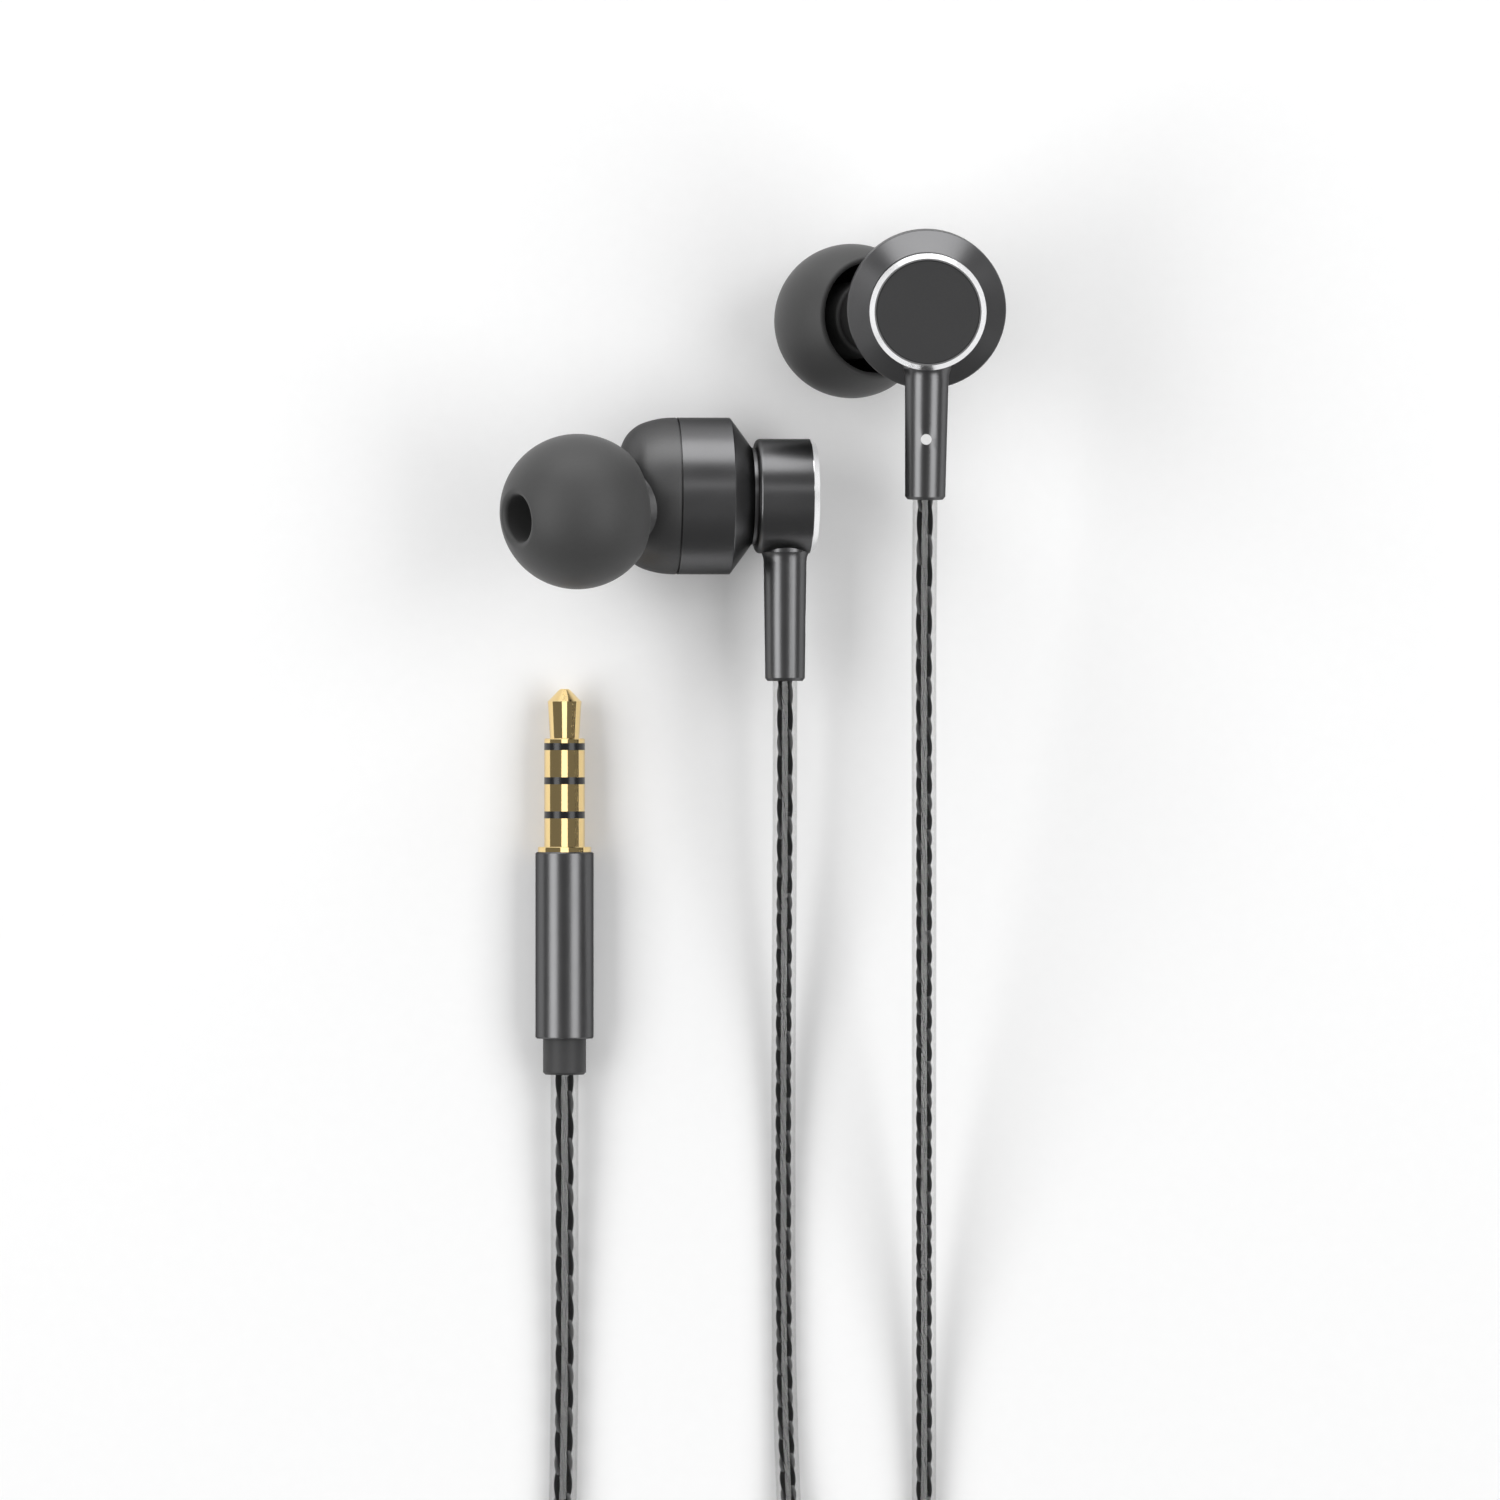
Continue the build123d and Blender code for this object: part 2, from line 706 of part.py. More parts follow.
left_route = [
    tuple((left_spot * stem_end).position),
    tuple((left_spot * stem_out).position),
    (14.52, -27.0, 19.2),
    (14.61, -42.0, 13.2),
    (14.69, -57.0, 7.2),
    (14.75, -72.0, 3.0),
    (14.8, -88.0, 1.2),
    (14.7, -106.0, branch_height),
    (14.3, -125.0, branch_height),
    (13.4, -144.0, branch_height),
    (left_coil_x, coil_entry(left_coil_x) - tube_overlap, branch_height),
]
right_upper_route = [
    tuple((right_spot * stem_end).position),
    tuple((right_spot * stem_out).position),
    (2.76, -39.0, 4.5),
    (2.7, -51.0, 2.0),
    (2.68, -64.0, 1.15),
    (2.74, -78.0, branch_height),
    (3.08, -89.0, 1.3),
    tuple(remote_ahead),
    tuple(remote_in),
]
right_lower_route = [
    tuple(remote_out),
    tuple(remote_beyond),
    (9.6, -148.0, 1.15),
    (right_coil_x, coil_entry(right_coil_x) - tube_overlap, branch_height),
]
main_route = [
    (main_coil_x, coil_entry(main_coil_x) - tube_overlap, main_coil_z),
    (-21.5, -152.0, 7.4),
    (-20.8, -139.0, 4.6),
    (-19.4, -126.0, 2.0),
    (-17.6, -111.0, main_height),
    (-16.35, -95.0, main_height),
    (-16.1, -79.0, 1.3),
    (plug_tail[0], plug_tail[1] - 13.0, 1.9),
    (plug_tail[0], plug_tail[1] - 5.0, barrel_diameter / 2),
    (plug_tail[0], plug_tail[1], barrel_diameter / 2),
]
nodes["left_cord"] = cord_tube("left_cord", left_route, branch_diameter)
nodes["right_cord_upper"] = cord_tube("right_cord_upper", right_upper_route, branch_diameter)
nodes["right_cord_lower"] = cord_tube("right_cord_lower", right_lower_route, branch_diameter)
nodes["main_cord"] = cord_tube("main_cord", main_route, main_diameter)
nodes["cord_coil"] = cord_coil()

os.makedirs("parts", exist_ok=True)
for name, piece in nodes.items():
    export_step(piece, "parts/" + name + ".step")
print(len(nodes), "nodes written")
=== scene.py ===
# Wired in-ear earphones laid out on a pale table: two earpieces with silicone tips, a clear-sheathed
# cord with a remote and a Y-splitter, and a four-contact plug. The spare cord lies in a neat coil.
import json
import math

import bpy
import numpy as np
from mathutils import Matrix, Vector


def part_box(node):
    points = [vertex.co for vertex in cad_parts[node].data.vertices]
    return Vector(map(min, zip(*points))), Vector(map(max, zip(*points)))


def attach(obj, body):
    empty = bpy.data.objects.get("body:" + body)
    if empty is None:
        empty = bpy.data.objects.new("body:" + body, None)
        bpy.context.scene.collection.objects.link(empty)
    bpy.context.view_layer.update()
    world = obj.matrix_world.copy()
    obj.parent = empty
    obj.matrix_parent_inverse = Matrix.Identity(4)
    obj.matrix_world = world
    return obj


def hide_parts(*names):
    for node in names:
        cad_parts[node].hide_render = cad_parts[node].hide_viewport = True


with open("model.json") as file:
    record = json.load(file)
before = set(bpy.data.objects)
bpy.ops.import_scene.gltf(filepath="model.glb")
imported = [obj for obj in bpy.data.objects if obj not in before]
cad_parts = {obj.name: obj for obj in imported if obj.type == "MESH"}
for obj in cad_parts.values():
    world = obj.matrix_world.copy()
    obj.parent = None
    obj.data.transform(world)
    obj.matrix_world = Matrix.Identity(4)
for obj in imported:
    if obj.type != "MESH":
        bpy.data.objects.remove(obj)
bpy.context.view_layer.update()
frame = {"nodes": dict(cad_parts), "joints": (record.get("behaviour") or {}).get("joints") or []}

MM = 0.001
scene = bpy.context.scene

# ---------------------------------------------------------------------------------------------
# Table, light and camera. A plain white table top under six softboxes: left, right, back, ceiling,
# and one each for the cord and the gold. The camera is straight above. The world is dim, and looks
# pale only to the camera.
TABLE_HALF_WIDTH = 4.0
WORLD_LIGHT = (0.18, 0.18, 0.18, 1)
WORLD_SEEN = (0.85, 0.85, 0.85, 1)
CAMERA_SENSOR = 36.0
CAMERA_REACH = 20.0
CAMERA_OVER = (-0.178, -25.043, 1000.0)
CAMERA_LENS = 278.88
AIM = Vector((0.0, -0.025, 0.0))
SLOW_NOISE_SHARE = 0.06


def surface_grain_group():
    """Shader group of a worked surface, from a fine and a slow noise on Object coordinates.
    Colour = Colour * (1 + Shade * (fine - 1/2)), Roughness = Roughness + Spread * (slow - 1/2),
    Height = fine. Slow has Scale times a small share, and Stretch draws both out along an axis."""
    tree = bpy.data.node_groups.new("surface_grain", "ShaderNodeTree")
    for name, kind in (
        ("Colour", "Color"), ("Shade", "Float"), ("Roughness", "Float"), ("Spread", "Float"),
        ("Scale", "Float"), ("Stretch", "Vector"),
    ):
        tree.interface.new_socket(name, in_out="INPUT", socket_type="NodeSocket" + kind)
    for name, kind in (("Colour", "Color"), ("Roughness", "Float"), ("Height", "Float")):
        tree.interface.new_socket(name, in_out="OUTPUT", socket_type="NodeSocket" + kind)
    values = tree.nodes.new("NodeGroupInput").outputs
    results = tree.nodes.new("NodeGroupOutput").inputs

    def math_node(operation, first, second, third=None):
        node = tree.nodes.new("ShaderNodeMath")
        node.operation = operation
        for socket, value in zip(node.inputs, (first, second, third)):
            if isinstance(value, (int, float)):
                socket.default_value = value
            elif value is not None:
                tree.links.new(value, socket)
        return node.outputs[0]

    stretched = tree.nodes.new("ShaderNodeVectorMath")
    stretched.operation = "MULTIPLY"
    tree.links.new(tree.nodes.new("ShaderNodeTexCoord").outputs["Object"], stretched.inputs[0])
    tree.links.new(values["Stretch"], stretched.inputs[1])
    fine = tree.nodes.new("ShaderNodeTexNoise")
    tree.links.new(stretched.outputs[0], fine.inputs["Vector"])
    tree.links.new(values["Scale"], fine.inputs["Scale"])
    slow = tree.nodes.new("ShaderNodeTexNoise")
    tree.links.new(stretched.outputs[0], slow.inputs["Vector"])
    tree.links.new(math_node("MULTIPLY", values["Scale"], SLOW_NOISE_SHARE), slow.inputs["Scale"])
    tint = math_node("MULTIPLY_ADD", math_node("SUBTRACT", fine.outputs[0], 0.5), values["Shade"], 1.0)
    shaded = tree.nodes.new("ShaderNodeVectorMath")
    shaded.operation = "SCALE"
    tree.links.new(values["Colour"], shaded.inputs[0])
    tree.links.new(tint, shaded.inputs["Scale"])
    rough = math_node(
        "MULTIPLY_ADD", math_node("SUBTRACT", slow.outputs[0], 0.5), values["Spread"], values["Roughness"]
    )
    tree.links.new(shaded.outputs[0], results["Colour"])
    tree.links.new(rough, results["Roughness"])
    tree.links.new(fine.outputs[0], results["Height"])
    return tree


SURFACE_GRAIN = surface_grain_group()


def finish(name, colour, roughness, shade=0.12, spread=0.1, scale=5000.0, stretch=(1, 1, 1), bump=0.15,
           depth=0.01, **values):
    """A material of the surface_grain group on a Principled BSDF. Depth is the height of the bumps in
    millimetres; the other values are the BSDF's own sockets, with an underscore for a space."""
    material = bpy.data.materials.new(name)
    material.use_nodes = True
    tree = material.node_tree
    shader = tree.nodes["Principled BSDF"]
    for socket, value in values.items():
        shader.inputs[socket.replace("_", " ")].default_value = value
    grain = tree.nodes.new("ShaderNodeGroup")
    grain.node_tree = SURFACE_GRAIN
    grain.inputs["Colour"].default_value = (*colour, 1)
    grain.inputs["Shade"].default_value = shade
    grain.inputs["Roughness"].default_value = roughness
    grain.inputs["Spread"].default_value = spread
    grain.inputs["Scale"].default_value = scale
    grain.inputs["Stretch"].default_value = stretch
    tree.links.new(grain.outputs["Colour"], shader.inputs["Base Color"])
    tree.links.new(grain.outputs["Roughness"], shader.inputs["Roughness"])
    relief = tree.nodes.new("ShaderNodeBump")
    relief.inputs["Strength"].default_value = bump
    relief.inputs["Distance"].default_value = depth * MM
    tree.links.new(grain.outputs["Height"], relief.inputs["Height"])
    tree.links.new(relief.outputs["Normal"], shader.inputs["Normal"])
    return material


w = TABLE_HALF_WIDTH
table_mesh = bpy.data.meshes.new("table")
table_mesh.from_pydata([(-w, -w, 0), (w, -w, 0), (w, w, 0), (-w, w, 0)], [], [(0, 1, 2, 3)])
table_mesh.materials.append(finish("table_paint", (0.93, 0.93, 0.93), 0.7, shade=0.02, scale=800.0))
table = bpy.data.objects.new("table", table_mesh)
scene.collection.objects.link(table)

# name, lean from the vertical in degrees (sideways, toward the back), size across and along, radiance
SOFTBOX_DISTANCE = 0.9
SOFTBOXES = (
    ("softbox_left", -45.0, 0.0, (0.50, 1.10), 3.0),
    ("softbox_right", 42.0, 0.0, (0.50, 1.10), 2.7),
    ("softbox_back", 0.0, 70.0, (1.10, 0.60), 2.6),
    ("softbox_ceiling", 0.0, 17.0, (0.90, 0.14), 0.9),
    ("softbox_cord", 0.0, -18.0, (0.95, 2.60), 10.5),
    ("softbox_gold", 0.0, 0.0, (0.55, 1.10), 1.5),
)
lamps = {}
for name, lean_x, lean_y, (across, along), radiance in SOFTBOXES:
    lamp = bpy.data.lights.new(name, "AREA")
    lamp.shape = "RECTANGLE"
    lamp.size, lamp.size_y = across, along
    lamp.energy = radiance * math.pi * across * along
    box = bpy.data.objects.new(name, lamp)
    lean_x, lean_y = math.radians(lean_x), math.radians(lean_y)
    toward = Vector((math.sin(lean_x), math.sin(lean_y), math.cos(lean_x + lean_y)))
    box.location = AIM + toward * SOFTBOX_DISTANCE
    box.rotation_euler = (-lean_y, lean_x, 0)
    box.visible_camera = False
    scene.collection.objects.link(box)
    lamps[name] = box

world = bpy.data.worlds.new("studio")
world.use_nodes = True
air = world.node_tree
dim = air.nodes["Background"]
dim.inputs["Color"].default_value = WORLD_LIGHT
pale = air.nodes.new("ShaderNodeBackground")
pale.inputs["Color"].default_value = WORLD_SEEN
seen = air.nodes.new("ShaderNodeMixShader")
air.links.new(air.nodes.new("ShaderNodeLightPath").outputs["Is Camera Ray"], seen.inputs[0])
air.links.new(dim.outputs[0], seen.inputs[1])
air.links.new(pale.outputs[0], seen.inputs[2])
air.links.new(seen.outputs[0], air.nodes["World Output"].inputs["Surface"])
scene.world = world
scene.view_settings.view_transform = "Standard"

camera_data = bpy.data.cameras.new("camera")
camera_data.lens = CAMERA_LENS
camera_data.sensor_width = CAMERA_SENSOR
camera_data.clip_end = CAMERA_REACH
camera = bpy.data.objects.new("camera", camera_data)
camera.location = Vector(CAMERA_OVER) * MM
scene.collection.objects.link(camera)
scene.camera = camera

# ---------------------------------------------------------------------------------------------
# Coil tie. A moulded silicone strap wrapped round the coil keeps the turns together. It is made
# first, because the main cord names it as a piece on it.
COIL_CENTRE = (-4.0, -166.0)
TIE_ANGLE = -50.0
TIE_WIDTH = 3.4
TIE_THICKNESS = 0.36
TIE_CORNERS = [
    (9.45, 0.2), (18.6, 0.2), (19.25, 0.85), (19.25, 8.95), (18.6, 9.6), (10.8, 9.6), (10.15, 9.0),
    (8.85, 0.8),
]
TIE_ROUNDS = 3


def grid_piece(name, grids, material, ring=True, loop=False):
    """One mesh over grids of points (rows, columns, 3), in metres: a quad between each four
    neighbours. With ring the columns close on themselves; with loop the rows do, else a ring's ends
    are closed by a flat face each."""
    vertices, faces, count = [], [], 0
    for points in grids:
        rows, columns = points.shape[:2]
        index = np.arange(rows * columns).reshape(rows, columns) + count
        here, right = (index, np.roll(index, -1, axis=1)) if ring else (index[:, :-1], index[:, 1:])
        if loop:
            corners = (here, right, np.roll(right, -1, axis=0), np.roll(here, -1, axis=0))
        else:
            corners = (here[:-1], right[:-1], right[1:], here[1:])
        faces += np.stack(corners, axis=-1).reshape(-1, 4).tolist()
        if ring and not loop:
            faces += [index[0, ::-1].tolist(), index[-1].tolist()]
        vertices.append(points.reshape(-1, 3))
        count += rows * columns
    mesh = bpy.data.meshes.new(name)
    mesh.from_pydata(np.concatenate(vertices), [], faces)
    mesh.polygons.foreach_set("use_smooth", np.ones(len(faces), dtype=bool))
    mesh.materials.append(material)
    piece = bpy.data.objects.new(name, mesh)
    scene.collection.objects.link(piece)
    return piece


def strap(corners, angle, width, thickness):
    """Surface of a closed band round a coil: its middle line is the outline of (radius, height)
    corners, each cut at a quarter and three quarters of its sides again and again, and its section is
    a rectangle of width along the turns by thickness, with its corners rounded off."""
    line = np.array(corners)
    for _ in range(TIE_ROUNDS):
        after = np.roll(line, -1, axis=0)
        line = np.stack([0.75 * line + 0.25 * after, 0.25 * line + 0.75 * after], axis=1).reshape(-1, 2)
    ahead = np.roll(line, -1, axis=0) - np.roll(line, 1, axis=0)
    ahead /= np.linalg.norm(ahead, axis=1, keepdims=True)
    outward = np.stack([ahead[:, 1], -ahead[:, 0]], axis=1)
    a = np.radians(angle)
    a = np.array([math.cos(a), math.sin(a)])
    half, edge = width / 2, thickness / 2
    section = [(half, -edge / 2), (half, edge / 2), (half - edge, edge), (edge - half, edge),
               (-half, edge / 2), (-half, -edge / 2), (edge - half, -edge), (half - edge, -edge)]
    rows = []
    for across, out in section:
        r = line[:, 0] + out * outward[:, 0]
        z = line[:, 1] + out * outward[:, 1]
        x = COIL_CENTRE[0] + r * a[0] - across * a[1]
        y = COIL_CENTRE[1] + r * a[1] + across * a[0]
        rows.append(np.stack([x, y, z], axis=1) * MM)
    return np.stack(rows, axis=1)


tie = grid_piece(
    "coil_tie", [strap(TIE_CORNERS, TIE_ANGLE, TIE_WIDTH, TIE_THICKNESS)],
    finish("tie_silicone", (0.055, 0.055, 0.056), 0.6, shade=0.12, scale=2500.0, bump=0.25), loop=True,
)
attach(tie, "earphones")

# ---------------------------------------------------------------------------------------------
# The cord. Two branch cords of 2.1 mm and a main cord of 2.4 mm: a clear round PVC sheath extruded
# over two dark enamelled wires twisted together. Two grey strands swing from side to side between them
# at the middle of the bore; they are painted shadow, a grey stand-in for the wires' shadow seen through
# the clear sheath. The branch cords are fixed in the stems and in the splitter.
BRANCH_DIAMETER = 2.1
MAIN_DIAMETER = 2.4
LEFT_ROUTE = [
    (14.533, -3.98, 23.833), (14.423, -12.958, 23.221), (14.52, -27, 19.2), (14.61, -42, 13.2),
    (14.69, -57, 7.2), (14.75, -72, 3.0), (14.8, -88, 1.2), (14.7, -106, 1.06), (14.3, -125, 1.06),
    (13.4, -144, 1.06),
]
RIGHT_ROUTE = [
    (2.817, -19.137, 6.261), (2.817, -28.137, 6.261), (2.76, -39, 4.5), (2.7, -51, 2.0),
    (2.68, -64, 1.15), (2.74, -78, 1.06), (3.08, -89, 1.3), (3.644, -97.628, 2.6),
    (4.360, -104.592, 2.6), (4.718, -108.073, 2.6), (7.073, -113.863, 2.6), (8.709, -129.779, 2.6),
    (7.582, -135.927, 2.6), (7.940, -139.408, 2.6), (8.349, -143.387, 2.6), (9.6, -148, 1.15),
]
MAIN_ROUTE = [
    (-21.8, -159.655, 8.1), (-21.5, -152, 7.4), (-20.8, -139, 4.6), (-19.4, -126, 2.0),
    (-17.6, -111, 1.21), (-16.35, -95, 1.21), (-16.1, -79, 1.3), (-16.1, -65.9, 1.9),
    (-16.1, -57.9, 2.5), (-16.1, -52.9, 2.5),
]
ANCHOR_DEPTH = 1.5
POINTS_PER_TURN = 16
BRANCH_LAYER = 1.06
SPLITTER_X = -10.0
SPLITTER_ENDS = (-171.5, -160.5)
SPLITTER_MIDDLE = 2.2
MOUTH_OFFSET = 1.05


def coil_turns(start_angle, turns, radius, height):
    """Control points of clockwise turns: angle = start - 360 t, with the radius and the height
    linear between the (turn, value) pairs given. A quadratic NURBS runs inside its control points
    by half of a step's cosine, so the radius is divided by that."""
    t = np.linspace(0, turns, int(round(turns * POINTS_PER_TURN)) + 1)
    angle = np.radians(start_angle - 360 * t)
    r = np.interp(t, *zip(*radius)) / math.cos(math.pi / POINTS_PER_TURN)
    z = np.interp(t, *zip(*height))
    x = COIL_CENTRE[0] + r * np.cos(angle)
    y = COIL_CENTRE[1] + r * np.sin(angle)
    return list(map(tuple, np.stack([x, y, z], axis=1)))


def cord_curve(name, points, diameter, material):
    """One open quadratic NURBS spline with these control points, in millimetres, and a round bevel of
    the cord's diameter. Returns it with the points of its own centreline, in metres."""
    curve = bpy.data.curves.new(name, "CURVE")
    curve.dimensions = "3D"
    spline = curve.splines.new("NURBS")
    spline.points.add(len(points) - 1)
    placed = np.ones((len(points), 4))
    placed[:, :3] = np.array(points) * MM
    spline.points.foreach_set("co", placed.ravel())
    spline.order_u = 3
    spline.use_endpoint_u = True
    spline.resolution_u = 8
    cord = bpy.data.objects.new(name, curve)
    scene.collection.objects.link(cord)
    line = bpy.data.meshes.new_from_object(cord)
    path = np.zeros(len(line.vertices) * 3)
    line.vertices.foreach_get("co", path)
    bpy.data.meshes.remove(line)
    curve.bevel_depth = diameter / 2 * MM
    curve.bevel_resolution = 5
    curve.use_fill_caps = True
    curve.materials.append(material)
    return cord, path.reshape(-1, 3)


STRAND_STEP = 0.45
STRAND_SIDES = 10


def strand(path, radius, off_centre, flat, phase, pitch):
    """Surface of one twisted strand: centre = path + off_centre (cos t, flat sin t) in the plane
    square to the path, with t = phase + the sum of 2 pi step / pitch, and a tube of radius round that
    centre. Pitch is given as distances along the path and the pitch at each, all in millimetres."""
    run = np.concatenate([[0], np.cumsum(np.linalg.norm(np.diff(path, axis=0), axis=1))])
    at = np.arange(0, run[-1], STRAND_STEP * MM)
    centre = np.stack([np.interp(at, run, path[:, axis]) for axis in range(3)], axis=1)
    ahead = np.gradient(centre, axis=0)
    side = np.cross(ahead, (0.0, 0.0, 1.0))
    side /= np.linalg.norm(side, axis=1, keepdims=True)
    up = np.cross(side, ahead)
    up /= np.linalg.norm(up, axis=1, keepdims=True)
    t = math.radians(phase) + 2 * math.pi * np.cumsum(STRAND_STEP / np.interp(at / MM, *pitch))
    centre = centre + off_centre * MM * (np.cos(t)[:, None] * side + flat * np.sin(t)[:, None] * up)
    a = np.linspace(0, 2 * math.pi, STRAND_SIDES, endpoint=False)
    spoke = side[:, None] * np.cos(a)[None, :, None] + up[:, None] * np.sin(a)[None, :, None]
    return centre[:, None] + radius * MM * spoke


WALL_BLEND = 0.2
WALL_COVER = 0.09
WALL_EDGE_COVER = 0.6
clear_sheath = finish(
    "clear_sheath", (0.02, 0.02, 0.02), 0.05, shade=0.03, spread=0.03, scale=900.0, bump=0.05, IOR=1.5,
    Coat_Weight=1.0, Coat_Roughness=0.06, Coat_IOR=2.2,
)
sheath_tree = clear_sheath.node_tree
wall = sheath_tree.nodes.new("ShaderNodeLayerWeight")
wall.inputs["Blend"].default_value = WALL_BLEND
wall_cover = sheath_tree.nodes.new("ShaderNodeMath")
wall_cover.operation = "MULTIPLY_ADD"
wall_cover.inputs[1].default_value = WALL_EDGE_COVER
wall_cover.inputs[2].default_value = WALL_COVER
sheath_tree.links.new(wall.outputs["Facing"], wall_cover.inputs[0])
sheath_tree.links.new(wall_cover.outputs[0], sheath_tree.nodes["Principled BSDF"].inputs["Alpha"])
wire_enamel = finish("wire_enamel", (0.008, 0.008, 0.008), 0.5, scale=3000.0, Specular_IOR_Level=0.1)
# Painted shadow: a mid-grey strand material that stands in for the wires' shadow seen through the clear
# sheath.
painted_shadow_yarn = finish("painted_shadow_yarn", (0.30, 0.30, 0.30), 0.7, shade=0.35, scale=9000.0, bump=0.4)


def into_piece(points):
    """The same points with the first one moved back into the piece that holds the cord's end."""
    first, second = np.array(points[0]), np.array(points[1])
    back = (first - second) / np.linalg.norm(first - second)
    return [tuple(first + back * ANCHOR_DEPTH)] + points[1:]


BRANCH_TURNS = 1.25
BRANCH_HEIGHT = [(0, BRANCH_LAYER), (BRANCH_TURNS, BRANCH_LAYER)]
MAIN_START = 100
MAIN_TURNS = 7.5 + MAIN_START / 360
left_mouth, right_mouth = SPLITTER_X - MOUTH_OFFSET, SPLITTER_X + MOUTH_OFFSET
left_points = into_piece(LEFT_ROUTE) + coil_turns(
    0, BRANCH_TURNS, radius=[(0, 17.0), (BRANCH_TURNS, 11.6)], height=BRANCH_HEIGHT
) + [
    (-8.6, -177.2, 1.4), (left_mouth, -174.6, 2.0), (left_mouth, SPLITTER_ENDS[0], SPLITTER_MIDDLE),
    (left_mouth, SPLITTER_ENDS[0] + ANCHOR_DEPTH, SPLITTER_MIDDLE),
]
right_points = into_piece(RIGHT_ROUTE) + coil_turns(
    0, BRANCH_TURNS, radius=[(0, 14.85), (BRANCH_TURNS, 9.5)], height=BRANCH_HEIGHT
) + [
    (-6.34, -175.5, 1.3), (right_mouth, -172.89, 1.9),
    (right_mouth, SPLITTER_ENDS[0] + ANCHOR_DEPTH, SPLITTER_MIDDLE),
]
main_points = into_piece(MAIN_ROUTE[::-1])[:-1] + coil_turns(
    MAIN_START, MAIN_TURNS, radius=[(0, 11.8), (2.5, 17.6), (5.0, 11.6), (7.5, 17.6), (7.8, 17.8)],
    height=[(0, 3.3), (2.4, 3.3), (2.6, 5.7), (4.9, 5.7), (5.1, 8.1), (9, 8.1)],
)[::-1] + [
    (-9.2, -155.4, 3.2), (SPLITTER_X, -157.8, 2.6), (SPLITTER_X, SPLITTER_ENDS[1], SPLITTER_MIDDLE),
    (SPLITTER_X, SPLITTER_ENDS[1] - ANCHOR_DEPTH, SPLITTER_MIDDLE),
]
main_points = main_points[::-1]
REMOTE = [
    "remote_top_shell", "remote_bottom_shell", "remote_button", "remote_switch", "remote_board",
    "remote_microphone",
]
PLUG = [
    "jack_tip", "jack_ring_1", "jack_ring_2", "jack_sleeve", "jack_insulators", "plug_barrel",
    "plug_core", "plug_collar",
]
SPLITTER = ["splitter_sleeve", "splitter_core"]

LEFT_PITCH = ([0, 7.5, 15.5, 34.5, 60], [9.6, 8.7, 7.3, 6.1, 5.95])
RIGHT_PITCH = ([0, 9, 15.5, 25.5, 44.5], [8.9, 7.5, 6.7, 6.0, 5.55])
MAIN_PITCH = ([0, 790, 846], [6.8, 6.8, 8.2])
# name, points, diameter, pitch, phase, wire (radius, off centre), painted-shadow strand (the same),
# length in metres, far end, CAD solids replaced, pieces on it
CORDS = (
    ("left", left_points, BRANCH_DIAMETER, LEFT_PITCH, 29, (0.37, 0.32), (0.16, 0.53), 0.29, "fitting",
     ["left_cord"], []),
    ("right", right_points, BRANCH_DIAMETER, RIGHT_PITCH, 138, (0.37, 0.32), (0.16, 0.53), 0.25, "fitting",
     ["right_cord_upper", "right_cord_lower"], REMOTE),
    ("main", main_points, MAIN_DIAMETER, MAIN_PITCH, 0, (0.42, 0.37), (0.18, 0.61), 0.84, "plug",
     ["main_cord", "cord_coil"], PLUG + SPLITTER + [tie]),
)
sheaths, strands = [], []
for name, points, diameter, pitch, phase, wire, painted_shadow_strand, length, far_end, solids, fitted in CORDS:
    cord, path = cord_curve(f"{name}_cord_sheath", points, diameter, clear_sheath)
    wires = [strand(path, *wire, 1, phase + turn, pitch) for turn in (0, 180)]
    wires = grid_piece(f"{name}_cord_wires", wires, wire_enamel)
    # Two grey strands that only swing side to side at the middle of the bore (flat 0): painted shadow of the
    # wires, not real filler yarn.
    painted_shadow_strands = [strand(path, *painted_shadow_strand, 0, phase + turn, pitch) for turn in (90, 270)]
    painted_shadow_strands = grid_piece(f"{name}_cord_fillers", painted_shadow_strands, painted_shadow_yarn)
    for piece in (cord, wires, painted_shadow_strands):
        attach(piece, "earphones")
    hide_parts(*solids)
    sheaths.append(cord)
    strands += [wires, painted_shadow_strands]

# ---------------------------------------------------------------------------------------------
# Eartips. Soft silicone mushrooms moulded in one piece: a thin round cup of 0.6 mm wall folded back
# over a thicker sleeve, which is pushed over the nozzle. The sound comes out of the hole on top.
JOINTS = {joint["name"]: joint for joint in frame["joints"]}
MESH_DISC_MIDDLE = 1.9
CUP_RADIUS = 6.6
CUP_WALL = 0.6
SKIRT_EDGE = -4.0
SLEEVE_INSIDE, SLEEVE_OUTSIDE = 2.55, 3.3
SLEEVE_END = -3.3
BORE_TOP = 2.1
SOUND_HOLE = 2.0
LIP = 0.45


def arc(middle, radius, start, end, steps):
    """Points of a circular arc: middle + radius (cos a, sin a), with a in degrees."""
    a = np.radians(np.linspace(start, end, steps))
    return np.stack([middle[0] + radius * np.cos(a), middle[1] + radius * np.sin(a)], axis=1)


def lathe(name, profile, origin, axis, material, steps=128):
    """A closed outline of (along, radius) pairs in millimetres turned about an axis: point = origin +
    along * axis + radius * (cos a * side + sin a * up)."""
    axis = np.array(axis) / np.linalg.norm(axis)
    side = np.cross(axis, (0.0, 1.0, 0.0))
    side /= np.linalg.norm(side)
    up = np.cross(axis, side)
    a = np.linspace(0, 2 * math.pi, steps, endpoint=False)[:, None]
    spoke = np.cos(a) * side + np.sin(a) * up
    along, radius = np.asarray(profile).T[:, :, None, None] * MM
    return grid_piece(name, [np.asarray(origin) + along * axis + radius * spoke], material, loop=True)


